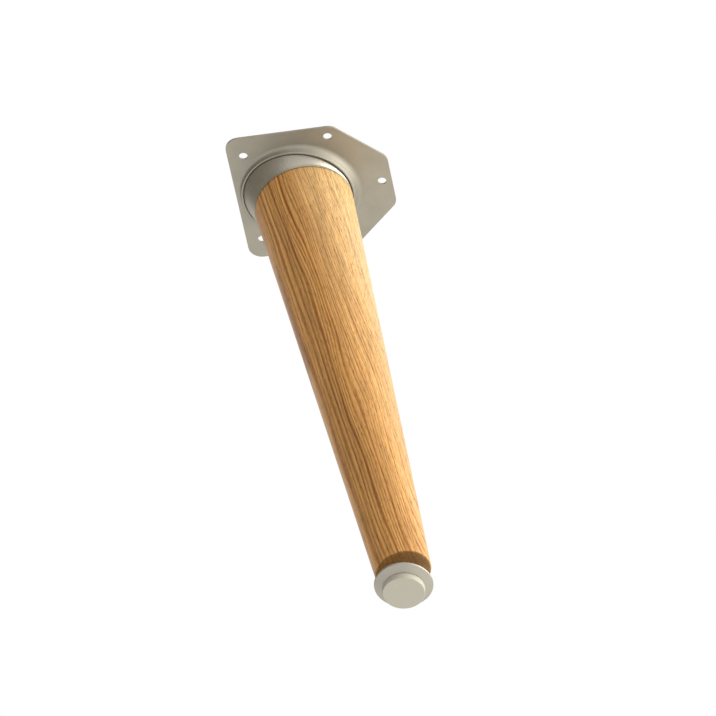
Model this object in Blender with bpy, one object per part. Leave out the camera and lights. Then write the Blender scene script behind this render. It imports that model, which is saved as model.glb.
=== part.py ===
# Splayed wooden furniture leg: a pressed steel mounting plate, a drawn steel cup that sets
# the splay, a turned oak leg on a hanger bolt, and a levelling foot that screws in and out of its
# lower end. Metres, +Z up. The origin is on the plate's mounting face, where the leg's axis meets
# it. The leg hangs down from the plate and leans towards +X, and the foot stays upright.

import math

import bmesh
import bpy
from mathutils import Matrix, Vector

for item in list(bpy.data.objects):
    bpy.data.objects.remove(item, do_unlink=True)

mm = 0.001

# How round things are drawn, and how far a cutter runs past what it cuts
round_steps = 80
small_round_steps = 32
arc_steps = 4
sharp_angle = math.radians(32)
merge_distance = 0.001 * mm
overrun = 1.0 * mm

# Clearance between pieces that seat on each other
seat_gap = 0.3 * mm

# Mounting plate: one pressed sheet, square, with the two corners towards +X cut off
plate_side = 90.0 * mm
plate_cut = 27.6 * mm
plate_corner_radius = 8.0 * mm
plate_sheet = 1.2 * mm
side_land = 9.3 * mm
rear_land = 0.9 * mm
screw_hole_diameter = 5.0 * mm
rear_hole_from_rear = 9.2 * mm
rear_hole_from_side = 13.4 * mm
middle_hole_behind_cut = 3.4 * mm
middle_hole_from_side = 7.0 * mm
front_hole_from_front = 5.7 * mm

# The plate's round mouth is drawn down into a sloping collar, which is set back and leans back
# against the leg, so that it is steep behind and gentle in front
collar_height = 4.9 * mm
collar_slope = math.radians(72)
collar_bend_radius = 2.6 * mm
collar_lip_radius = 0.8 * mm
collar_edge_radius = 0.3 * mm
collar_set_back = 1.2 * mm
collar_lean = math.radians(2.2)

# Cup: its brim lies in the collar's bend, its side swings over from the collar's lean to the
# leg's, and its flat floor is square to the leg
splay = math.radians(9.8)
cup_collar_gap = 0.5 * mm
cup_sheet = 1.2 * mm
cup_drop = 13.6 * mm
cup_taper = 3.1 * mm
cup_side_bulge = 0.25 * mm
cup_corner_radius = 1.6 * mm
cup_side_rings = 4

# Hanger bolt and the nut welded in the cup
bolt_diameter = 7.8 * mm
bolt_rise = 10.0 * mm
bolt_in_wood = 46.0 * mm
bolt_point_length = 9.0 * mm
bolt_neck_depth = 0.5 * mm
bolt_neck_length = 3.0 * mm
bolt_end_chamfer = 0.8 * mm
nut_across_flats = 13.0 * mm
nut_height = 6.4 * mm
nut_chamfer = 0.9 * mm

# Leg: a straight turned taper
leg_length = 319.7 * mm
leg_proud_of_cup = 0.66 * mm
leg_foot_diameter = 30.9 * mm
leg_top_round = 0.5 * mm
leg_foot_round = 1.3 * mm
bore_mouth_chamfer = 0.6 * mm
drill_point_rise = 2.4 * mm

# Threaded insert in the leg's lower end, upright like the foot
insert_diameter = 11.6 * mm
insert_length = 20.0 * mm
insert_chamfer = 0.6 * mm
insert_below_wood = 0.2 * mm

# Foot: spindle, flange and the glide pad that is snapped over the spindle's head
spindle_diameter = 7.8 * mm
spindle_above_leg_end = 25.0 * mm
spindle_travel_up = 5.0 * mm
spindle_end_chamfer = 0.9 * mm
foot_gap = 8.75 * mm
flange_diameter = 32.0 * mm
flange_rim = 1.5 * mm
flange_cone_drop = 2.1 * mm
flange_edge_radius = 0.5 * mm
pad_diameter = 23.0 * mm
pad_height = 3.8 * mm
pad_edge_radius = 0.45 * mm
pad_lip = 1.0 * mm
pad_lip_diameter = 10.0 * mm
pad_floor = 1.0 * mm
head_diameter = 14.0 * mm
head_edge = 0.3 * mm

# Values that follow from those above
bend_centre = Vector((plate_side / 2 - side_land, -plate_sheet - collar_bend_radius))
bend_outer = plate_sheet + collar_bend_radius
axis_from_rear_edge = bend_centre.x + rear_land
collar_out = Vector((math.sin(collar_slope), -math.cos(collar_slope)))
collar_down = Vector((-math.cos(collar_slope), -math.sin(collar_slope)))
lip_foot = bend_centre - collar_out * (collar_bend_radius + collar_lip_radius)
lip_run = (lip_foot.y + collar_height - collar_lip_radius) / math.sin(collar_slope)
lip_centre = lip_foot + collar_down * lip_run
edge_centre = (bend_centre - collar_out * (bend_outer - collar_edge_radius)
               + collar_down * (lip_run + collar_lip_radius - collar_edge_radius))
mouth_radius = edge_centre.x - collar_edge_radius
cup_top_radius = mouth_radius - cup_collar_gap
cup_foot_radius = cup_top_radius - cup_taper
cup_floor = cup_drop - seat_gap
leg_top_radius = cup_foot_radius + leg_proud_of_cup
leg_foot_radius = leg_foot_diameter / 2
leg_end = cup_drop + leg_length
bolt_bore_radius = bolt_diameter / 2 + seat_gap
insert_bore_radius = insert_diameter / 2 + seat_gap
spindle_bore_radius = spindle_diameter / 2 + seat_gap
foot_axis_x = leg_end * math.sin(splay)
foot_axis_z = -leg_end * math.cos(splay)
insert_foot = insert_bore_radius * math.tan(splay) + insert_below_wood
insert_head = insert_foot + insert_length
flange_top = -foot_gap
flange_under = flange_top - flange_rim - flange_cone_drop
pad_top = flange_under - seat_gap
pad_bottom = pad_top - pad_height
head_top = pad_top - pad_lip - seat_gap
head_bottom = pad_bottom + pad_floor + seat_gap


def finish(name, colour, roughness, metallic):
    # A plain finish for one piece.
    material = bpy.data.materials.new(name)
    material.use_nodes = True
    shader = material.node_tree.nodes["Principled BSDF"]
    shader.inputs["Base Color"].default_value = (*colour, 1.0)
    shader.inputs["Roughness"].default_value = roughness
    shader.inputs["Metallic"].default_value = metallic
    return material


def add_object(name, bm, material=None, parent=None):
    # Turns a bmesh into a smooth-shaded object. Faces of a closed body point out.
    bmesh.ops.recalc_face_normals(bm, faces=bm.faces)
    mesh = bpy.data.meshes.new(name)
    bm.to_mesh(mesh)
    bm.free()
    mesh.shade_smooth()
    mesh.set_sharp_from_angle(angle=sharp_angle)
    if material:
        mesh.materials.append(material)
    thing = bpy.data.objects.new(name, mesh)
    thing.parent = parent
    bpy.context.scene.collection.objects.link(thing)
    return thing


def add_guide(name, bm, parent=None):
    # A cutter: drawn as wire and left out of the part.
    guide = add_object(name, bm, parent=parent)
    guide.display_type = 'WIRE'
    guide.hide_render = True
    return guide


def add_axis(name, place, turn_about_y):
    # An empty that carries the pieces on one axis.
    axis = bpy.data.objects.new(name, None)
    axis.location = place
    axis.rotation_euler = (0, turn_about_y, 0)
    bpy.context.scene.collection.objects.link(axis)
    return axis


def boolean(target, operation, guide):
    change = target.modifiers.new(f"{operation.lower()} {guide.name}", 'BOOLEAN')
    change.operation = operation
    change.solver = 'EXACT'
    change.object = guide


def arc(centre, radius, start_degrees, end_degrees, steps=arc_steps):
    # Points of a round stretch in a section, as (radius, height).
    points = []
    for step in range(steps + 1):
        angle = math.radians(start_degrees + (end_degrees - start_degrees) * step / steps)
        points.append((centre[0] + radius * math.cos(angle), centre[1] + radius * math.sin(angle)))
    return points


def turned(section, steps):
    # Spins a section, given as (radius, height), about Z. A section that starts off the axis is
    # a closed loop, as a tube's is.
    bm = bmesh.new()
    verts = [bm.verts.new((radius, 0, height)) for radius, height in section]
    edges = [bm.edges.new(pair) for pair in zip(verts, verts[1:])]
    if section[0][0] > 0:
        edges.append(bm.edges.new((verts[-1], verts[0])))
    bmesh.ops.spin(bm, geom=verts + edges, cent=(0, 0, 0), axis=(0, 0, 1),
                   angle=2 * math.pi, steps=steps, use_merge=True)
    bmesh.ops.remove_doubles(bm, verts=bm.verts, dist=merge_distance)
    return bm


def tilted_ring(middle, radius, tilt):
    # A circle about a middle. A tilt above zero lifts its +X side.
    across = Vector((math.cos(tilt), 0, math.sin(tilt)))
    points = []
    for step in range(round_steps):
        angle = 2 * math.pi * step / round_steps
        sideways = Vector((0, radius * math.sin(angle), 0))
        points.append(middle + across * radius * math.cos(angle) + sideways)
    return points


def collar_ring(radius, height):
    # A circle of the collar. It is set back and leans by the share of the collar's drop.
    share = max(0, (-height - plate_sheet) / (collar_height - plate_sheet))
    middle = Vector((-collar_set_back * share, 0, height))
    return tilted_ring(middle, radius, -collar_lean * share)


def on_leg_axis(distance):
    # The place on the leg's axis at a distance below the origin.
    return Vector((math.sin(splay), 0, -math.cos(splay))) * distance


def lofted(rings):
    # Skins a closed chain of rings, each joined to the next and the last to the first.
    bm = bmesh.new()
    loops = [[bm.verts.new(point) for point in ring] for ring in rings]
    for this, following in zip(loops, loops[1:] + loops[:1]):
        for step in range(len(this)):
            after = (step + 1) % len(this)
            bm.faces.new((this[step], this[after], following[after], following[step]))
    return bm


def rounded_outline(corners, radius):
    # A polygon's points with every corner turned to an arc that is tangent to both sides.
    points = []
    for index, corner in enumerate(corners):
        before = (corners[index - 1] - corner).normalized()
        after = (corners[(index + 1) % len(corners)] - corner).normalized()
        half = before.angle(after) / 2
        centre = corner + (before + after).normalized() * radius / math.sin(half)
        start = corner + before * radius / math.tan(half) - centre
        sweep = math.pi - 2 * half
        side = math.copysign(1, before.x * after.y - before.y * after.x)
        steps = 2 * arc_steps
        for step in range(steps + 1):
            turn = Matrix.Rotation(-side * sweep * step / steps, 2)
            points.append(centre + turn @ start)
    return points


def prism(points, bottom, top):
    # An upright prism on an outline.
    bm = bmesh.new()
    base = bm.faces.new([bm.verts.new((point.x, point.y, bottom)) for point in points])
    grown = bmesh.ops.extrude_face_region(bm, geom=[base])
    lifted = [item for item in grown["geom"] if isinstance(item, bmesh.types.BMVert)]
    bmesh.ops.translate(bm, verts=lifted, vec=(0, 0, top - bottom))
    return bm


def rod(bm, radius, bottom, top, place=(0, 0), steps=small_round_steps):
    # Adds a plain upright cylinder to a bmesh.
    middle = Matrix.Translation((place[0], place[1], (bottom + top) / 2))
    bmesh.ops.create_cone(bm, cap_ends=True, segments=steps, radius1=radius, radius2=radius,
                          depth=top - bottom, matrix=middle)
    return bm


def make_mounting_plate():
    # The sheet is drawn down round its mouth, blanked to its outline and pierced for screws.
    nickel = finish("satin_nickel_plate", (0.46, 0.42, 0.35), 0.34, 1.0)
    slope = math.degrees(collar_slope)
    section = arc(bend_centre, bend_outer, 90, 90 + slope)
    section += arc(edge_centre, collar_edge_radius, slope + 90, slope + 180, 2)
    section += arc(lip_centre, collar_lip_radius, slope + 180, slope + 270)
    section += arc(bend_centre, collar_bend_radius, 90 + slope, 90)
    section += [(plate_side, -plate_sheet), (plate_side, 0)]
    sheet = lofted([collar_ring(radius, height) for radius, height in section])
    plate = add_object("mounting_plate", sheet, nickel)

    rear = -axis_from_rear_edge
    front = rear + plate_side
    side = plate_side / 2
    corners = [Vector((rear, -side)), Vector((front - plate_cut, -side)),
               Vector((front, -side + plate_cut)), Vector((front, side - plate_cut)),
               Vector((front - plate_cut, side)), Vector((rear, side))]
    outline = prism(rounded_outline(corners, plate_corner_radius), -plate_side, overrun)
    boolean(plate, 'INTERSECT', add_guide("plate_outline_guide", outline))

    rear_hole_y = side - rear_hole_from_side
    middle_hole_y = side - middle_hole_from_side
    rear_hole_x = rear + rear_hole_from_rear
    middle_hole_x = front - plate_cut - middle_hole_behind_cut
    places = [(rear_hole_x, -rear_hole_y), (rear_hole_x, rear_hole_y),
              (middle_hole_x, -middle_hole_y), (middle_hole_x, middle_hole_y),
              (front - front_hole_from_front, 0)]
    holes = bmesh.new()
    for place in places:
        rod(holes, screw_hole_diameter / 2, -plate_sheet - overrun, overrun, place)
    boolean(plate, 'DIFFERENCE', add_guide("screw_hole_guide", holes))


def cup_face(offset):
    # One face of the cup's sheet, from brim to bolt hole: the outer face at offset zero and the
    # inner face at the sheet's thickness. The brim nests over the collar's bend, the side's rings
    # move and lean over step by step, and the floor meets the side in a true round.
    brim_radius = bend_outer + seat_gap + offset
    brim_start = 180 - math.degrees(math.asin((bend_outer - seat_gap) / brim_radius))
    brim_end = 90 + math.degrees(collar_slope)
    brim = arc(bend_centre, brim_radius, brim_start, brim_end, 2)
    brim.append((cup_top_radius - offset, edge_centre.y))
    rings = [collar_ring(radius, height) for radius, height in brim]

    corner = cup_corner_radius - offset
    corner_radius = cup_foot_radius - cup_corner_radius
    floor = cup_floor - offset
    top = Vector((-collar_set_back, 0, -collar_height))
    foot = on_leg_axis(floor - corner)
    for step in range(cup_side_rings):
        share = step / cup_side_rings
        bulge = cup_side_bulge * math.sin(math.pi * share)
        radius = cup_top_radius - cup_taper * share + bulge - offset
        tilt = splay * share - collar_lean * (1 - share)
        rings.append(tilted_ring(top.lerp(foot, share), radius, tilt))

    for radius, distance in arc((corner_radius, floor - corner), corner, 0, 90, 3):
        rings.append(tilted_ring(on_leg_axis(distance), radius, splay))
    rings.append(tilted_ring(on_leg_axis(floor), bolt_bore_radius, splay))
    return rings


def make_cup():
    nickel = finish("satin_nickel_cup", (0.44, 0.41, 0.35), 0.30, 1.0)
    add_object("angle_cup", lofted(cup_face(0) + cup_face(cup_sheet)[::-1]), nickel)


def make_nut(leg_axis):
    # A weld nut: a hexagon with turned corners, bored for the bolt.
    zinc = finish("zinc_nut", (0.55, 0.56, 0.58), 0.35, 1.0)
    bottom = -cup_floor + cup_sheet + seat_gap
    top = bottom + nut_height
    corner = nut_across_flats / math.sqrt(3)
    hexagon = rod(bmesh.new(), corner, bottom, top, steps=6)
    nut = add_object("cup_nut", hexagon, zinc, leg_axis)
    flank = nut_across_flats / 2
    blank = [(0, bottom - overrun), (corner, bottom - overrun), (corner, top - nut_chamfer),
             (flank, top), (0, top + overrun)]
    boolean(nut, 'INTERSECT', add_guide("nut_corner_guide", turned(blank, round_steps), leg_axis))
    bore = rod(bmesh.new(), bolt_bore_radius, bottom - overrun, top + overrun)
    boolean(nut, 'DIFFERENCE', add_guide("nut_bore_guide", bore, leg_axis))


def make_hanger_bolt(leg_axis):
    # Machine thread above the neck, wood thread and point below it. The threads are left plain.
    zinc = finish("zinc_bolt", (0.52, 0.53, 0.55), 0.35, 1.0)
    radius = bolt_diameter / 2
    neck = radius - bolt_neck_depth
    top = -cup_drop + bolt_rise
    shoulder = -cup_drop - bolt_neck_length
    point = -cup_drop - bolt_in_wood
    section = [(0, top), (radius - bolt_end_chamfer, top), (radius, top - bolt_end_chamfer),
               (radius, -cup_drop), (neck, -cup_drop - bolt_neck_depth),
               (neck, shoulder), (radius, shoulder - bolt_neck_depth),
               (radius, point + bolt_point_length), (bolt_end_chamfer, point), (0, point)]
    add_object("hanger_bolt", turned(section, small_round_steps), zinc, leg_axis)


def make_wooden_leg(leg_axis, foot_axis):
    # Turned in one taper, drilled along its axis for the bolt and upright for the foot.
    oak = finish("oiled_oak", (0.50, 0.27, 0.09), 0.45, 0.0)
    bore_depth = bolt_in_wood + seat_gap
    bore_bottom = -cup_drop - bore_depth
    top_round = leg_top_round
    foot_round = leg_foot_round
    section = [(0, bore_bottom - drill_point_rise), (bolt_bore_radius, bore_bottom),
               (bolt_bore_radius, -cup_drop - bore_mouth_chamfer),
               (bolt_bore_radius + bore_mouth_chamfer, -cup_drop)]
    section += arc((leg_top_radius - top_round, -cup_drop - top_round), top_round, 90, 0, 3)
    section += arc((leg_foot_radius - foot_round, -leg_end + foot_round), foot_round, 0, -90)
    section += [(0, -leg_end)]
    leg = add_object("wooden_leg", turned(section, round_steps), oak, leg_axis)

    # The foot's bore: a wide mouth for the insert, then room for the spindle when it is run in
    below = -insert_bore_radius * math.tan(splay) - overrun
    spindle_room = spindle_above_leg_end + spindle_travel_up + overrun
    pocket = insert_head + seat_gap
    drilled = [(0, below), (insert_bore_radius, below), (insert_bore_radius, pocket),
               (spindle_bore_radius, pocket), (spindle_bore_radius, spindle_room),
               (0, spindle_room + drill_point_rise)]
    bore = add_guide("foot_bore_guide", turned(drilled, small_round_steps), foot_axis)
    boolean(leg, 'DIFFERENCE', bore)


def make_insert(foot_axis):
    # A steel sleeve, threaded inside for the spindle, a little below the wood's slanting end.
    zinc = finish("zinc_insert", (0.52, 0.52, 0.50), 0.40, 1.0)
    radius = insert_diameter / 2
    bore = spindle_bore_radius
    chamfer = insert_chamfer
    section = [(bore + chamfer, insert_foot), (radius - chamfer, insert_foot),
               (radius, insert_foot + chamfer), (radius, insert_head - chamfer),
               (radius - chamfer, insert_head), (bore + chamfer, insert_head),
               (bore, insert_head - chamfer), (bore, insert_foot + chamfer)]
    add_object("threaded_insert", turned(section, small_round_steps), zinc, foot_axis)


def make_foot(foot_axis):
    # The spindle turns with the flange. Its flat head turns inside the glide pad.
    zinc = finish("zinc_spindle", (0.58, 0.57, 0.53), 0.32, 1.0)
    radius = spindle_diameter / 2
    head = head_diameter / 2
    section = [(0, head_bottom), (head - head_edge, head_bottom), (head, head_bottom + head_edge),
               (head, head_top - head_edge), (head - head_edge, head_top), (radius, head_top),
               (radius, spindle_above_leg_end - spindle_end_chamfer),
               (radius - spindle_end_chamfer, spindle_above_leg_end), (0, spindle_above_leg_end)]
    add_object("foot_spindle", turned(section, small_round_steps), zinc, foot_axis)

    nickel = finish("satin_nickel_flange", (0.50, 0.47, 0.40), 0.35, 1.0)
    rim = flange_diameter / 2
    edge = flange_edge_radius
    pad = pad_diameter / 2
    section = [(spindle_bore_radius, flange_top)]
    section += arc((rim - edge, flange_top - edge), edge, 90, 0, 2)
    section += arc((rim - edge, flange_top - flange_rim + edge), edge, 0, -60, 2)
    section += [(pad, flange_under), (spindle_bore_radius, flange_under)]
    add_object("foot_flange", turned(section, round_steps), nickel, foot_axis)

    nylon = finish("grey_nylon_pad", (0.44, 0.41, 0.33), 0.45, 0.0)
    edge = pad_edge_radius
    lip = pad_lip_diameter / 2
    pocket = head + seat_gap
    section = [(0, pad_bottom)]
    section += arc((pad - edge, pad_bottom + edge), edge, -90, 0, 3)
    section += [(pad, pad_top), (lip, pad_top), (lip, pad_top - pad_lip),
                (pocket, pad_top - pad_lip), (pocket, pad_bottom + pad_floor),
                (0, pad_bottom + pad_floor)]
    add_object("glide_pad", turned(section, round_steps), nylon, foot_axis)


leg_axis = add_axis("leg_axis", (0, 0, 0), -splay)
foot_axis = add_axis("foot_axis", (foot_axis_x, 0, foot_axis_z), 0)
make_mounting_plate()
make_cup()
make_nut(leg_axis)
make_hanger_bolt(leg_axis)
make_wooden_leg(leg_axis, foot_axis)
make_insert(foot_axis)
make_foot(foot_axis)
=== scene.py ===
import math

import bmesh
import bpy
from mathutils import Matrix, Vector


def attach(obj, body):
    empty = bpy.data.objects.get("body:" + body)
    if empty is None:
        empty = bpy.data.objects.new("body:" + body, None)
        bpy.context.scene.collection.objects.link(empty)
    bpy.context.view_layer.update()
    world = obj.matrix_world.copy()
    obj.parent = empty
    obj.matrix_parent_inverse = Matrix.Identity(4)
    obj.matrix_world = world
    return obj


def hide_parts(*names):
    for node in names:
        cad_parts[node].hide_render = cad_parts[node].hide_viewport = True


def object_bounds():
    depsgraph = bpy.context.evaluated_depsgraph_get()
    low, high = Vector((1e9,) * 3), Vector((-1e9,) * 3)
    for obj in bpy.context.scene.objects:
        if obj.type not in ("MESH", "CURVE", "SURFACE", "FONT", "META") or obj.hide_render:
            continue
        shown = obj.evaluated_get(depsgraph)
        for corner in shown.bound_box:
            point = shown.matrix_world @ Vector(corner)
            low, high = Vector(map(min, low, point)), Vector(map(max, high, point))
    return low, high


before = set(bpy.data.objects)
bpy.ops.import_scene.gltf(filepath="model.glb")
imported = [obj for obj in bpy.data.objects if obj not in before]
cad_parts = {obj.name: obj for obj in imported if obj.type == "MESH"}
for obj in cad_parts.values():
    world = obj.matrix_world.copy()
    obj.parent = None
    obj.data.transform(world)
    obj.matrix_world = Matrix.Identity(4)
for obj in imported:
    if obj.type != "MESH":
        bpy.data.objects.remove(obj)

# Splayed oak furniture leg seen from below: nickel plated mounting plate and cup, turned oak
# leg, and a levelling foot on a threaded spindle. Lengths are in metres unless they say otherwise

cadLow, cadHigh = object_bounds()
mm = 0.001
print("frame loaded")


# Helpers

def linear(hexColour):
    # sRGB hex to the linear colour that the shaders take
    parts = [int(hexColour[i:i + 2], 16) / 255 for i in (1, 3, 5)]
    return tuple(p / 12.92 if p <= 0.04045 else ((p + 0.055) / 1.055) ** 2.4 for p in parts) + (1,)


def grey(value):
    return (value, value, value, 1)


def addNode(tree, kind, inputs=None, stops=(), **settings):
    # Adds a shader node. An input is a value, a socket to link, or a node whose first output is
    # linked. Stops are the (place, colour) pairs of a colour ramp
    node = tree.nodes.new("ShaderNode" + kind)
    for key, value in settings.items():
        setattr(node, key, value)
    for key, value in (inputs or {}).items():
        value = value.outputs[0] if isinstance(value, bpy.types.Node) else value
        if isinstance(value, bpy.types.NodeSocket):
            tree.links.new(value, node.inputs[key])
        else:
            node.inputs[key].default_value = value
    for number, (place, colour) in enumerate(stops):
        elements = node.color_ramp.elements
        element = elements[number] if number < 2 else elements.new(place)
        element.position = place
        element.color = colour
    return node


def newMaterial(name):
    material = bpy.data.materials.new(name)
    material.use_nodes = True
    material.node_tree.nodes.clear()
    return material, material.node_tree


def standOff(thing, direction, distance, target):
    # Puts a lamp or card at a distance from the target and turns its face to it
    direction = Vector(direction).normalized()
    thing.location = target + direction * distance
    thing.rotation_mode = "QUATERNION"
    thing.rotation_quaternion = direction.to_track_quat("Z", "Y")


# Camera, fitted to the plate's edges and screw holes, the leg's sides and the foot

camera = {
    "azimuth": 9.09,  # degrees, as are the next two
    "elevation": -48.27,
    "roll": -0.47,
    "distance": 4.0538,
    "lens": 355.4,  # millimetres, as is the sensor
    "sensor": 36.0,
    "clipEnd": 50.0,
    "framePixels": 716,
    "originPixel": (300.0, 190.4),  # where the centre of the plate's mouth falls in the frame
}


def cameraAxes():
    # Right, up and forward directions of the camera in the row frame
    a, e, r = (math.radians(camera[key]) for key in ("azimuth", "elevation", "roll"))
    forward = -Vector((math.sin(a) * math.cos(e), -math.cos(a) * math.cos(e), math.sin(e)))
    right = Vector((math.cos(a), math.sin(a), 0))
    up = right.cross(forward)
    return math.cos(r) * right + math.sin(r) * up, math.cos(r) * up - math.sin(r) * right, forward


def makeCamera():
    right, up, forward = cameraAxes()
    perPixel = camera["sensor"] / camera["lens"] / camera["framePixels"] * camera["distance"]
    middle = camera["framePixels"] / 2
    acrossOffset = (camera["originPixel"][0] - middle) * perPixel
    upOffset = (middle - camera["originPixel"][1]) * perPixel
    data = bpy.data.cameras.new("camera")
    data.lens = camera["lens"]
    data.sensor_width = camera["sensor"]
    data.clip_end = camera["clipEnd"]
    eye = bpy.data.objects.new("camera", data)
    eye.location = -right * acrossOffset - up * upOffset - forward * camera["distance"]
    eye.rotation_mode = "QUATERNION"
    eye.rotation_quaternion = Matrix((right, up, -forward)).transposed().to_quaternion()
    bpy.context.scene.collection.objects.link(eye)
    bpy.context.scene.camera = eye


makeCamera()
print("camera placed")


# Light and floor. A white room that is brighter at the right and below, a soft lamp from the
# right, a weaker one from below and behind, and a pale floor that shows only from above

light = {
    "roomColour": "#FFFFFF",
    "roomDim": 0.41,
    "roomBright": 1.12,
    "roomFall": 1.15,
    "roomBrightFrom": (0.70, 0.10, -0.70),
    "lampColour": "#FFFCF5",
    "lamps": {
        "key": {"power": 21.0, "size": 1.4, "distance": 1.3, "from": (0.93, -0.14, 0.10)},
        "fill": {"power": 2.4, "size": 1.9, "distance": 1.2, "from": (0.28, 0.60, -0.74)},
    },
}

darkCard = {
    "colour": "#7C7973",
    "size": 2.0,
    "distance": 0.8,
    "from": (-0.93, -0.34, 0.15),
}

floorPaper = {
    "colour": "#F2F1EE",
    "roughness": 0.9,
    "glow": 0.25,
    "size": 4.0,
    "fades": (0.45, 1.5),
    "gap": 11 * mm,  # under the foot, which runs out by 10 mm
}


def makeRoom():
    # The camera and reflections see plain white. Matt surfaces are lit from the brighter side
    world = bpy.data.worlds.new("room")
    bpy.context.scene.world = world
    world.use_nodes = True
    tree = world.node_tree
    tree.nodes.clear()
    ray = addNode(tree, "LightPath")
    seen = addNode(tree, "Math", {0: ray.outputs["Is Camera Ray"], 1: ray.outputs["Is Glossy Ray"]},
                   operation="MAXIMUM")
    seen = addNode(tree, "Math", {0: seen, 1: ray.outputs["Is Transmission Ray"]},
                   operation="MAXIMUM")
    bright = Vector(light["roomBrightFrom"]).normalized()
    toBright = addNode(tree, "VectorMath", {0: addNode(tree, "TexCoord").outputs["Generated"],
                                            1: bright}, operation="DOT_PRODUCT")
    nearness = addNode(tree, "MapRange", {"Value": toBright.outputs["Value"], "From Min": -1.0})
    falling = addNode(tree, "Math", {0: nearness, 1: light["roomFall"]}, operation="POWER")
    level = addNode(tree, "MapRange", {"Value": falling, "To Min": light["roomDim"],
                                       "To Max": light["roomBright"]})
    lit = addNode(tree, "Background", {"Color": linear(light["roomColour"]), "Strength": level})
    white = addNode(tree, "Background", {"Color": grey(1.0), "Strength": 1.0})
    mixed = addNode(tree, "MixShader", {0: seen, 1: lit, 2: white})
    addNode(tree, "OutputWorld", {"Surface": mixed})


def makeLamp(name, settings):
    data = bpy.data.lights.new(name, "AREA")
    data.shape = "DISK"
    data.size = settings["size"]
    data.energy = settings["power"]
    data.color = linear(light["lampColour"])[:3]
    lamp = bpy.data.objects.new(name, data)
    standOff(lamp, settings["from"], settings["distance"], (cadLow + cadHigh) / 2)
    lamp.visible_camera = False
    bpy.context.scene.collection.objects.link(lamp)


def makeSheet(name, size, material):
    # A square of one face, for the card and the floor
    bm = bmesh.new()
    bmesh.ops.create_grid(bm, x_segments=1, y_segments=1, size=size / 2)
    mesh = bpy.data.meshes.new(name)
    bm.to_mesh(mesh)
    bm.free()
    mesh.materials.append(material)
    sheet = bpy.data.objects.new(name, mesh)
    bpy.context.scene.collection.objects.link(sheet)
    return sheet


def makeFlag():
    # A dark card above the leg at the camera's left, as photographers hang one to shape metal.
    # Only the leg's reflections see it
    material, tree = newMaterial("dark card")
    shader = addNode(tree, "BsdfPrincipled", {"Base Color": linear(darkCard["colour"]),
                                              "Roughness": 1.0})
    addNode(tree, "OutputMaterial", {"Surface": shader})
    flag = makeSheet("flag", darkCard["size"], material)
    standOff(flag, darkCard["from"], darkCard["distance"], Vector())
    flag.visible_camera = False
    flag.visible_diffuse = False
    flag.visible_shadow = False


def makeFloor():
    # Seen from above it is pale paper with the leg's shadow, and fades into the white room. From
    # below, and by every ray but the camera's, it isn't there, so the leg is lit and seen from
    # under it
    material, tree = newMaterial("pale floor paper")
    shader = addNode(tree, "BsdfPrincipled", {
        "Base Color": linear(floorPaper["colour"]), "Roughness": floorPaper["roughness"],
        "Emission Color": grey(1.0), "Emission Strength": floorPaper["glow"]})
    ray = addNode(tree, "LightPath")
    side = addNode(tree, "NewGeometry")
    front = addNode(tree, "Math", {0: ray.outputs["Is Camera Ray"], 1: side.outputs["Backfacing"]},
                    operation="SUBTRACT", use_clamp=True)
    away = addNode(tree, "VectorMath", {0: addNode(tree, "TexCoord").outputs["Object"]},
                   operation="LENGTH")
    fadeStart, fadeEnd = floorPaper["fades"]
    fade = addNode(tree, "MapRange", {"Value": away.outputs["Value"], "From Min": fadeStart,
                                      "From Max": fadeEnd, "To Min": 1.0, "To Max": 0.0},
                   interpolation_type="SMOOTHSTEP")
    seen = addNode(tree, "Math", {0: front, 1: fade}, operation="MULTIPLY")
    mixed = addNode(tree, "MixShader", {0: seen, 1: addNode(tree, "BsdfTransparent"), 2: shader})
    addNode(tree, "OutputMaterial", {"Surface": mixed})
    floor = makeSheet("floor", floorPaper["size"], material)
    floor.location = (0, 0, cadLow.z - floorPaper["gap"])


makeRoom()
for lampName, lampSettings in light["lamps"].items():
    makeLamp(lampName, lampSettings)
makeFlag()
makeFloor()
print("light and floor ready")


# Finishes. Noise seldom goes past these two values, so they are taken as its ends

noiseLow, noiseHigh = 0.3, 0.7

nickel = {
    # One nickel finish on all three; their colours differ as painted light, to how each is lit
    "plate": {"colour": "#ABA698", "shade": "#A49F91", "roughness": 0.57, "metallic": 0.85},
    "cup": {"colour": "#BDB7A9", "shade": "#B6B0A2", "roughness": 0.45, "metallic": 1.0},
    "flange": {"colour": "#B4AFA2", "shade": "#ADA89B", "roughness": 0.50, "metallic": 1.0},
    "unevenness": 0.05,  # of the roughness
    "cloud": 14 * mm,
    "grain": 0.5 * mm,  # usually about 0.1 mm, drawn as coarse as it needs to show
    "bump": 0.012 * mm,
    "bumpStrength": 0.35,
}


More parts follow.
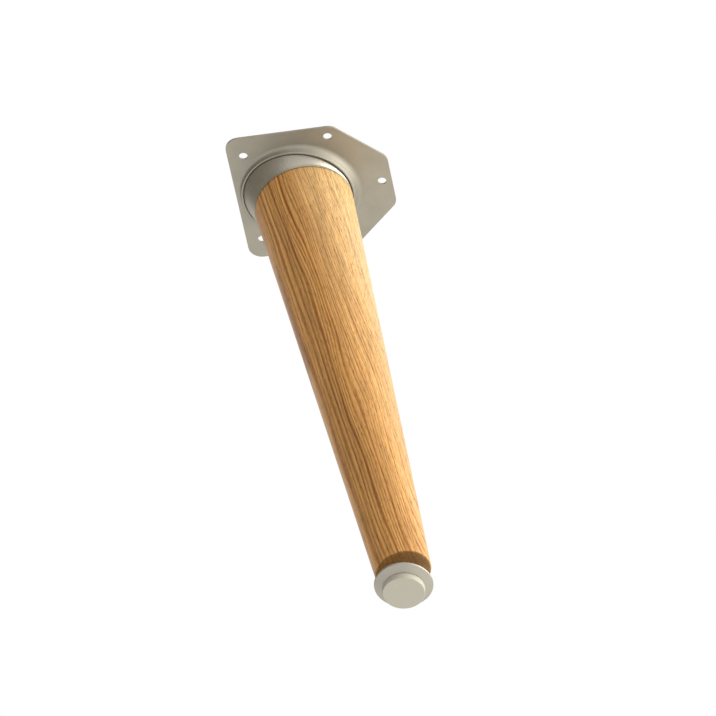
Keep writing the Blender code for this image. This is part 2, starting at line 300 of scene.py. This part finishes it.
def satinNickel(name, surface):
    # Nickel plated pressed steel, satin from a fine tumbled grain: soft warm-grey reflections
    # that cloud a little from place to place
    material, tree = newMaterial(name)
    place = addNode(tree, "TexCoord").outputs["Object"]
    cloud = addNode(tree, "TexNoise", {"Vector": place, "Scale": 1 / nickel["cloud"],
                                       "Detail": 3.0, "Roughness": 0.5})
    tint = addNode(tree, "ValToRGB", {"Fac": cloud}, stops=[
        (noiseLow, linear(surface["shade"])), (noiseHigh, linear(surface["colour"]))])
    grain = addNode(tree, "TexNoise", {"Vector": place, "Scale": 1 / nickel["grain"],
                                       "Detail": 2.0, "Roughness": 0.6})
    rough = addNode(tree, "MapRange", {"Value": grain, "From Min": noiseLow, "From Max": noiseHigh,
                                       "To Min": surface["roughness"] - nickel["unevenness"],
                                       "To Max": surface["roughness"] + nickel["unevenness"]})
    bump = addNode(tree, "Bump", {"Height": grain, "Distance": nickel["bump"],
                                  "Strength": nickel["bumpStrength"]})
    shader = addNode(tree, "BsdfPrincipled", {"Base Color": tint, "Roughness": rough,
                                              "Normal": bump, "Metallic": surface["metallic"]})
    addNode(tree, "OutputMaterial", {"Surface": shader})
    return material


zinc = {
    "colour": "#C4C5C2",
    "shade": "#A9ABA8",
    "patch": 4 * mm,
    "patchEdges": (0.35, 0.65),  # of the noise
    "roughness": (0.25, 0.45),
}


def zincSteel(name):
    # Zinc plated steel fasteners: cooler and a little patchy, with a soft shine
    material, tree = newMaterial(name)
    place = addNode(tree, "TexCoord").outputs["Object"]
    patch = addNode(tree, "TexNoise", {"Vector": place, "Scale": 1 / zinc["patch"], "Detail": 4.0})
    dull, bright = zinc["patchEdges"]
    tint = addNode(tree, "ValToRGB", {"Fac": patch}, stops=[
        (dull, linear(zinc["shade"])), (bright, linear(zinc["colour"]))])
    rough = addNode(tree, "MapRange", {"Value": patch, "To Min": zinc["roughness"][0],
                                       "To Max": zinc["roughness"][1]})
    shader = addNode(tree, "BsdfPrincipled", {"Base Color": tint, "Roughness": rough,
                                              "Metallic": 1.0})
    addNode(tree, "OutputMaterial", {"Surface": shader})
    return material


nylon = {
    "colour": "#BCB7A5",
    "shade": "#B1AC9A",
    "roughness": 0.52,
    "grain": 0.4 * mm,  # usually about 0.1 mm, drawn as coarse as it needs to show
    "bump": 0.015 * mm,
    "bumpStrength": 0.4,
}


def mouldedNylon(name):
    # Moulded nylon in a warm grey, with the fine spark-eroded grain that keeps it from shining
    material, tree = newMaterial(name)
    place = addNode(tree, "TexCoord").outputs["Object"]
    grain = addNode(tree, "TexNoise", {"Vector": place, "Scale": 1 / nylon["grain"],
                                       "Detail": 2.0})
    tint = addNode(tree, "ValToRGB", {"Fac": grain}, stops=[
        (noiseLow, linear(nylon["shade"])), (noiseHigh, linear(nylon["colour"]))])
    bump = addNode(tree, "Bump", {"Height": grain, "Distance": nylon["bump"],
                                  "Strength": nylon["bumpStrength"]})
    shader = addNode(tree, "BsdfPrincipled", {"Base Color": tint, "Normal": bump,
                                              "Roughness": nylon["roughness"]})
    addNode(tree, "OutputMaterial", {"Surface": shader})
    return material


oak = {
    "axisDown": (0.1702, 0.0, -0.9854),  # the leg's own axis
    "grainDown": (0.2215, 0.03, -0.9752),  # the wood isn't sawn quite along its grain
    "late": "#DAA763",
    "mid": "#CF954E",
    "early": "#945619",
    # Sapwood, on the lit side away from the pith: paler partly by its own tone, partly as painted
    # light
    "sapwoodAndPaintedLight": "#DBBD86",
    "pore": "#7A4716",
    "fibreRoughness": 0.55,

    # The pith lies beside the leg. Rings start at firstRing from it and come closer outwards:
    # from there, a ring's number is (distance / ringWidth) to the power of ringCloser
    "pith": (-58 * mm, -14 * mm, 0),
    "firstRing": 27 * mm,
    "ringWidth": 7.4 * mm,
    "ringCloser": 1.7,
    # How far ring lines stray, and the width and length of a stray
    "strays": ((7.5 * mm, 34 * mm, 190 * mm), (1.2 * mm, 9 * mm, 300 * mm),
               (0.35 * mm, 7 * mm, 45 * mm)),
    # Good and poor years: rings differ in width and in how dark they are. The shift is in rings,
    # and the scales are of noise along the count of rings
    "yearShift": 1.0,
    "yearShiftScale": 0.45,
    "yearTintScale": 0.8,
    "palestYear": 0.5,
    # Across one ring: its colours, and how many pores it has
    "ringColours": ((0.0, "early"), (0.14, "early"), (0.40, "mid"), (0.80, "late"), (1.0, "early")),
    "ringPores": ((0.0, 1.0), (0.25, 0.8), (0.5, 0.4), (1.0, 0.6)),

    # Rings show less in faint patches, in the sapwood, which lies on the lit side so that the
    # fading there is partly painted light, and on the end grain. A patch has a width and a length,
    # and its edges are of the noise, for the years too
    "patch": (10 * mm, 90 * mm),
    "patchEdges": (0.35, 0.60),
    "faintest": 0.55,
    "sapwoodAndLightEdges": (57 * mm, 84 * mm),
    "sapwoodAndLightRings": 0.45,
    "endFacing": (0.5, 0.8),
    "endRings": 0.4,
    # The end grain is darker, partly by its own tone and partly as painted shade from the flange
    "endToneAndPaintedShade": 0.43,
    # A painted shadow line runs round the top edge, where the leg meets the cup: dark down to the
    # first of these below the top face, and the wood's own colour from the second
    "paintedTopShadowEdges": (0.9 * mm, 1.7 * mm),
    "paintedTopShadowDark": 0.42,

    # Width and length of a mark, then how dark and how light it makes the wood
    "marks": ((9 * mm, 220 * mm, 0.90, 1.12), (1.5 * mm, 70 * mm, 0.92, 1.10),
              (0.6 * mm, 60 * mm, 0.76, 1.19), (0.5 * mm, 2.2 * mm, 0.96, 1.04)),
    "markEdges": (0.34, 0.66),
    # Pores are really 0.3 mm wide, and are drawn as wide as a pixel needs
    "pores": (0.45 * mm, 5 * mm),
    "poreEdges": (0.54, 0.66),
    "poreTint": 0.75,
    "poreRoughness": 0.2,
    "bump": 0.06 * mm,
    "bumpStrength": 0.5,

    "specular": 0.22,
    "roughness": 0.50,
    "oilSheen": 0.28,
    "oilRoughness": 0.30,
}


def alongGrain(tree, place, width, length, detail=2.0):
    # Noise drawn out along the grain
    drawn = addNode(tree, "VectorMath", {0: place, 1: (1 / width, 1 / width, 1 / length)},
                    operation="MULTIPLY")
    return addNode(tree, "TexNoise", {"Vector": drawn, "Scale": 1.0, "Detail": detail,
                                      "Roughness": oak["fibreRoughness"]})


def countRings(tree, place):
    # The distance from the pith, and the number of growth rings up to there
    fromPith = addNode(tree, "VectorMath", {0: place, 1: oak["pith"]}, operation="SUBTRACT")
    flat = addNode(tree, "VectorMath", {0: fromPith, 1: (1, 1, 0)}, operation="MULTIPLY")
    radius = addNode(tree, "VectorMath", {0: flat}, operation="LENGTH").outputs["Value"]
    for distance, width, length in oak["strays"]:
        radius = addNode(tree, "Math", {0: alongGrain(tree, place, width, length),
                                        1: distance * 2, 2: radius}, operation="MULTIPLY_ADD")
    outward = addNode(tree, "MapRange", {"Value": radius, "From Min": oak["firstRing"],
                                         "From Max": oak["firstRing"] + oak["ringWidth"]},
                      clamp=False)
    outward = addNode(tree, "Math", {0: outward, 1: 0.0}, operation="MAXIMUM")
    count = addNode(tree, "Math", {0: outward, 1: oak["ringCloser"]}, operation="POWER")
    year = addNode(tree, "TexNoise", {"W": count, "Scale": oak["yearShiftScale"], "Detail": 1.0},
                   noise_dimensions="1D")
    count = addNode(tree, "Math", {0: year, 1: oak["yearShift"] * 2, 2: count},
                    operation="MULTIPLY_ADD")
    return radius, count


def ringClearness(tree, place, radius, count, endFacing):
    # How clearly the rings show at a place
    patchLow, patchHigh = oak["patchEdges"]
    litSapStart, litSapEnd = oak["sapwoodAndLightEdges"]
    clear = addNode(tree, "MapRange", {"Value": alongGrain(tree, place, *oak["patch"]),
                                       "From Min": patchLow, "From Max": patchHigh,
                                       "To Min": oak["faintest"]})
    year = addNode(tree, "TexNoise", {"W": count, "Scale": oak["yearTintScale"], "Detail": 1.0},
                   noise_dimensions="1D")
    inYear = addNode(tree, "MapRange", {"Value": year, "From Min": patchLow,
                                        "From Max": patchHigh, "To Min": oak["palestYear"]})
    onEnd = addNode(tree, "MapRange", {"Value": endFacing, "To Min": 1.0,
                                       "To Max": oak["endRings"]})
    # The rings fade in the sapwood on the lit side, partly as painted light
    inSapwoodAndLight = addNode(tree, "MapRange", {"Value": radius, "From Min": litSapStart,
                                           "From Max": litSapEnd, "To Min": 1.0,
                                           "To Max": oak["sapwoodAndLightRings"]})
    for part in (onEnd, inSapwoodAndLight, inYear):
        clear = addNode(tree, "Math", {0: clear, 1: part}, operation="MULTIPLY")
    return clear


def woodMarksAndPaintedShade(tree, where, place, endFacing):
    # How dark the wood is at a place: the end grain, partly by its own darker tone and partly as
    # painted shade from the flange close below, a painted shadow line along the top edge, and dark
    # and light marks along the grain
    # The end grain: its own darker tone, with painted shade from the flange close below
    shade = addNode(tree, "MapRange", {"Value": endFacing, "To Min": 1.0,
                                       "To Max": oak["endToneAndPaintedShade"]})
    down = Vector(oak["axisDown"])
    legTop = min(down.dot(point.co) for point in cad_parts["wooden_leg"].data.vertices)
    darkEnd, paleStart = oak["paintedTopShadowEdges"]
    fromTop = addNode(tree, "VectorMath", {0: where, 1: down}, operation="DOT_PRODUCT")
    # A painted shadow line round the top edge, where the leg meets the cup
    parts = [addNode(tree, "MapRange", {"Value": fromTop.outputs["Value"],
                                        "From Min": legTop + darkEnd,
                                        "From Max": legTop + paleStart,
                                        "To Min": oak["paintedTopShadowDark"]})]
    for width, length, dark, pale in oak["marks"]:
        parts.append(addNode(tree, "MapRange", {
            "Value": alongGrain(tree, place, width, length, 3.0),
            "From Min": oak["markEdges"][0], "From Max": oak["markEdges"][1],
            "To Min": dark, "To Max": pale}))
    for part in parts:
        shade = addNode(tree, "Math", {0: shade, 1: part}, operation="MULTIPLY")
    return shade


def turnedOak(name):
    # Turned oak under clear hard oil, with a soft sheen. The growth rings lie about a pith far
    # beside the leg, so they show as wide wandering streaks on one side and as fine close lines
    # on the rest. Each ring starts with a dark band of open pores
    material, tree = newMaterial(name)
    where = addNode(tree, "TexCoord").outputs["Object"]
    toUpright = Vector(oak["grainDown"]).rotation_difference(Vector((0, 0, -1)))
    axis, angle = toUpright.to_axis_angle()
    place = addNode(tree, "VectorRotate", {"Vector": where, "Axis": axis, "Angle": angle})

    # One on faces that lie across the leg, and zero on its side
    facing = addNode(tree, "VectorMath", {0: addNode(tree, "NewGeometry").outputs["True Normal"],
                                          1: oak["axisDown"]}, operation="DOT_PRODUCT")
    across = addNode(tree, "Math", {0: facing.outputs["Value"]}, operation="ABSOLUTE")
    sideEnds, endStarts = oak["endFacing"]
    endFacing = addNode(tree, "MapRange", {"Value": across, "From Min": sideEnds,
                                           "From Max": endStarts})

    radius, count = countRings(tree, place)
    ring = addNode(tree, "Math", {0: count}, operation="FRACT")
    ringColour = addNode(tree, "ValToRGB", {"Fac": ring}, stops=[
        (stop, linear(oak[colour])) for stop, colour in oak["ringColours"]])
    # The sapwood is paler, partly its own tone and partly painted light on the lit side
    litSapStart, litSapEnd = oak["sapwoodAndLightEdges"]
    sapwoodAndPaintedLight = addNode(tree, "MapRange", {"Value": radius, "From Min": litSapStart,
                                         "From Max": litSapEnd})
    body = addNode(tree, "Mix", {"Factor": sapwoodAndPaintedLight, "A": linear(oak["mid"]),
                                 "B": linear(oak["sapwoodAndPaintedLight"])}, data_type="RGBA")
    rings = addNode(tree, "Mix", {
        "Factor": ringClearness(tree, place, radius, count, endFacing),
        "A": body.outputs["Result"], "B": ringColour}, data_type="RGBA")
    shaded = addNode(tree, "VectorMath", {
        0: rings.outputs["Result"], "Scale": woodMarksAndPaintedShade(tree, where, place, endFacing)},
        operation="SCALE")

    poreBand = addNode(tree, "ValToRGB", {"Fac": ring}, stops=[
        (stop, grey(share)) for stop, share in oak["ringPores"]])
    dashes = addNode(tree, "MapRange", {"Value": alongGrain(tree, place, *oak["pores"], 1.0),
                                        "From Min": oak["poreEdges"][0],
                                        "From Max": oak["poreEdges"][1]})
    pores = addNode(tree, "Math", {0: dashes, 1: poreBand}, operation="MULTIPLY")
    depth = addNode(tree, "Math", {0: pores, 1: oak["poreTint"]}, operation="MULTIPLY")
    colour = addNode(tree, "Mix", {"Factor": depth, "A": shaded, "B": linear(oak["pore"])},
                     data_type="RGBA")
    bump = addNode(tree, "Bump", {"Height": pores, "Distance": oak["bump"],
                                  "Strength": oak["bumpStrength"]}, invert=True)
    rough = addNode(tree, "MapRange", {"Value": pores, "To Min": oak["roughness"],
                                       "To Max": oak["roughness"] + oak["poreRoughness"]})
    shader = addNode(tree, "BsdfPrincipled", {
        "Base Color": colour.outputs["Result"], "Normal": bump, "Roughness": rough,
        "Specular IOR Level": oak["specular"], "Coat Weight": oak["oilSheen"],
        "Coat Roughness": oak["oilRoughness"]})
    addNode(tree, "OutputMaterial", {"Surface": shader})
    return material


def dress(node, material):
    # Gives a CAD node its finish
    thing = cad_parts[node]
    thing.data.materials.clear()
    thing.data.materials.append(material)
    for polygon in thing.data.polygons:
        polygon.material_index = 0


zincFinish = zincSteel("zinc plated steel")
dress("mounting_plate", satinNickel("satin nickel plated steel", nickel["plate"]))
dress("angle_cup", satinNickel("drawn satin nickel plated steel", nickel["cup"]))
dress("foot_flange", satinNickel("turned satin nickel plated steel", nickel["flange"]))
dress("cup_nut", zincFinish)
dress("glide_pad", mouldedNylon("moulded grey nylon"))
dress("wooden_leg", turnedOak("turned oak, clear oiled"))
print("finishes on the CAD pieces")


# Threaded pieces. The CAD keeps their threads plain. A thread's profile gives, for each point
# along one pitch, its place in the pitch and whether it lies at the root or the crest

sharpAngle = math.radians(28)  # edges sharper than this stay crisp


def addPoint(bm, radius, angle, height):
    return bm.verts.new((radius * math.cos(angle), radius * math.sin(angle), height))


def addRing(bm, radius, height, steps):
    return [addPoint(bm, radius, 2 * math.pi * i / steps, height) for i in range(steps)]


def joinRings(bm, below, above):
    for i in range(len(below)):
        bm.faces.new((below[i - 1], below[i], above[i], above[i - 1]))


def addTurned(bm, section, steps=32):
    # A turned shape through (radius, height) points, closed by a flat face at each end
    rings = [addRing(bm, radius, height, steps) for radius, height in section]
    for below, above in zip(rings, rings[1:]):
        joinRings(bm, below, above)
    bm.faces.new(rings[0][::-1])
    bm.faces.new(rings[-1])


def addThreaded(bm, thread, low, high, largest, filled=True):
    # A threaded rod. Its points follow the helix, so that crests are crisp, no point is further
    # out than largest(height), and both ends are cut square
    steps, pitch, profile = thread["steps"], thread["pitch"], thread["profile"]
    count = len(profile)
    spare = 2  # turns beyond each end, to be cut off
    rows = (math.ceil((high - low) / pitch) + 2 * spare) * count
    points = {}
    for i in range(steps):
        for j in range(rows):
            phase, edge = profile[j % count]
            height = low + (j // count - spare + phase + i / steps) * pitch
            radius = min(thread[edge], largest(height))
            points[i, j] = addPoint(bm, radius, 2 * math.pi * i / steps, height)
    for i in range(steps):
        across, shift = (i + 1, 0) if i + 1 < steps else (0, count)
        for j in range(rows - 1 - count):
            bm.faces.new((points[i, j], points[across, j + shift], points[across, j + shift + 1],
                          points[i, j + 1]))
    ends = []
    for height, way in ((low, -1), (high, 1)):
        cut = bmesh.ops.bisect_plane(bm, geom=bm.verts[:] + bm.edges[:] + bm.faces[:],
                                     plane_co=(0, 0, height), plane_no=(0, 0, way),
                                     clear_outer=True)
        ends.append([edge for edge in cut["geom_cut"] if isinstance(edge, bmesh.types.BMEdge)])
        if filled:
            bmesh.ops.holes_fill(bm, edges=ends[-1])
    return ends


def finishPiece(bm, name, node, body, place):
    # Turns the mesh into a zinc plated piece that stands for its CAD node
    bm.transform(place)
    bmesh.ops.recalc_face_normals(bm, faces=bm.faces)
    mesh = bpy.data.meshes.new(name)
    bm.to_mesh(mesh)
    bm.free()
    mesh.materials.append(zincFinish)
    mesh.shade_smooth()
    mesh.set_sharp_from_angle(angle=sharpAngle)
    piece = bpy.data.objects.new(name, mesh)
    bpy.context.scene.collection.objects.link(piece)
    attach(piece, body)
    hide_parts(node)


machineThread = {
    "pitch": 1.25 * mm,
    "steps": 32,
    "root": 3.2 * mm,
    "crest": 3.9 * mm,
    "profile": ((0.0, "root"), (0.13, "root"), (0.5, "crest"), (0.63, "crest")),
    "chamfer": 0.9 * mm,
}

spindle = {
    "axis": (56.731 * mm, 0, -328.436 * mm),  # the middle of the leg's lower end, on the foot
    "top": 25.0 * mm,
    "threadStart": -8.0 * mm,
    "shank": 3.9 * mm,
    "head": 7.0 * mm,
    "headEdge": 0.3 * mm,
    "headTop": -13.95 * mm,
    "headBottom": -15.15 * mm,
}


def makeSpindle():
    # Rolled thread down to the flange, plain shank through it, flat head in the glide pad
    bm = bmesh.new()
    tip = machineThread["crest"] - machineThread["chamfer"]
    addThreaded(bm, machineThread, spindle["threadStart"], spindle["top"],
                lambda height: tip + max(0, spindle["top"] - height))
    edge, head, shank = spindle["headEdge"], spindle["head"], spindle["shank"]
    top, bottom, start = spindle["headTop"], spindle["headBottom"], spindle["threadStart"]
    addTurned(bm, [(head - edge, bottom), (head, bottom + edge), (head, top - edge),
                   (head - edge, top), (shank, top), (shank, start),
                   (machineThread["root"], start + edge)])
    finishPiece(bm, "threaded_spindle", "foot_spindle", "spindle",
                Matrix.Translation(spindle["axis"]))


woodThread = {
    "pitch": 3.2 * mm,
    "steps": 32,
    "root": 2.75 * mm,
    "crest": 3.9 * mm,
    "profile": ((0.0, "root"), (0.62, "root"), (0.78, "crest"), (0.84, "crest")),
}

bolt = {
    "top": -3.6 * mm,
    "machineEnd": -13.8 * mm,
    "neck": 3.4 * mm,
    "neckEnd": -16.4 * mm,
    "overlap": 0.2 * mm,  # of the neck into each thread
    "point": -59.6 * mm,
    "pointLength": 9.0 * mm,
    "pointRadius": 0.8 * mm,
}


def makeBolt():
    # Machine thread into the cup's nut, a rolled neck, and a coarse wood thread with a point
    bm = bmesh.new()
    tip = machineThread["crest"] - machineThread["chamfer"]
    addThreaded(bm, machineThread, bolt["machineEnd"], bolt["top"],
                lambda height: tip + max(0, bolt["top"] - height))

    # The wood thread is cut in a mesh of its own, because the cuts go through all there is
    lower = bmesh.new()
    slope = (woodThread["crest"] - bolt["pointRadius"]) / bolt["pointLength"]
    addThreaded(lower, woodThread, bolt["point"], bolt["neckEnd"],
                lambda height: bolt["pointRadius"] + max(0, height - bolt["point"]) * slope)
    carrier = bpy.data.meshes.new("wood thread")
    lower.to_mesh(carrier)
    lower.free()
    bm.from_mesh(carrier)
    bpy.data.meshes.remove(carrier)

    neck, overlap = bolt["neck"], bolt["overlap"]
    addTurned(bm, [(woodThread["root"], bolt["neckEnd"] - overlap),
                   (neck, bolt["neckEnd"] + overlap), (neck, bolt["machineEnd"]),
                   (machineThread["root"], bolt["machineEnd"] + overlap)])
    splay = Vector((0, 0, -1)).rotation_difference(Vector(oak["axisDown"]))
    finishPiece(bm, "threaded_hanger_bolt", "hanger_bolt", "leg",
                splay.to_matrix().to_4x4())


insertThread = {
    "pitch": 2.5 * mm,
    "steps": 40,
    "root": 5.1 * mm,
    "crest": 5.8 * mm,
    "profile": ((0.0, "root"), (0.45, "root"), (0.68, "crest"), (0.78, "crest")),
}

insert = {
    "foot": 1.254 * mm,
    "length": 20.0 * mm,
    "bore": 4.2 * mm,
    "chamfer": 0.6 * mm,
}


def makeInsert():
    # A sleeve with a coarse thread outside that holds in the wood
    bm = bmesh.new()
    low, high = insert["foot"], insert["foot"] + insert["length"]
    tip = insertThread["crest"] - insert["chamfer"]
    ends = addThreaded(bm, insertThread, low, high,
                       lambda height: tip + max(0, min(high - height, height - low)),
                       filled=False)
    rings = [addRing(bm, insert["bore"], height, insertThread["steps"]) for height in (low, high)]
    joinRings(bm, *rings)
    for ring, outer in zip(rings, ends):
        inner = [bm.edges.get((ring[i - 1], ring[i])) for i in range(len(ring))]
        bmesh.ops.triangle_fill(bm, use_beauty=True, edges=outer + inner)
    finishPiece(bm, "threaded_insert_sleeve", "threaded_insert", "leg",
                Matrix.Translation(spindle["axis"]))


makeSpindle()
makeBolt()
makeInsert()
print("threaded pieces made")


view = bpy.context.scene.view_settings
view.view_transform = "Standard"
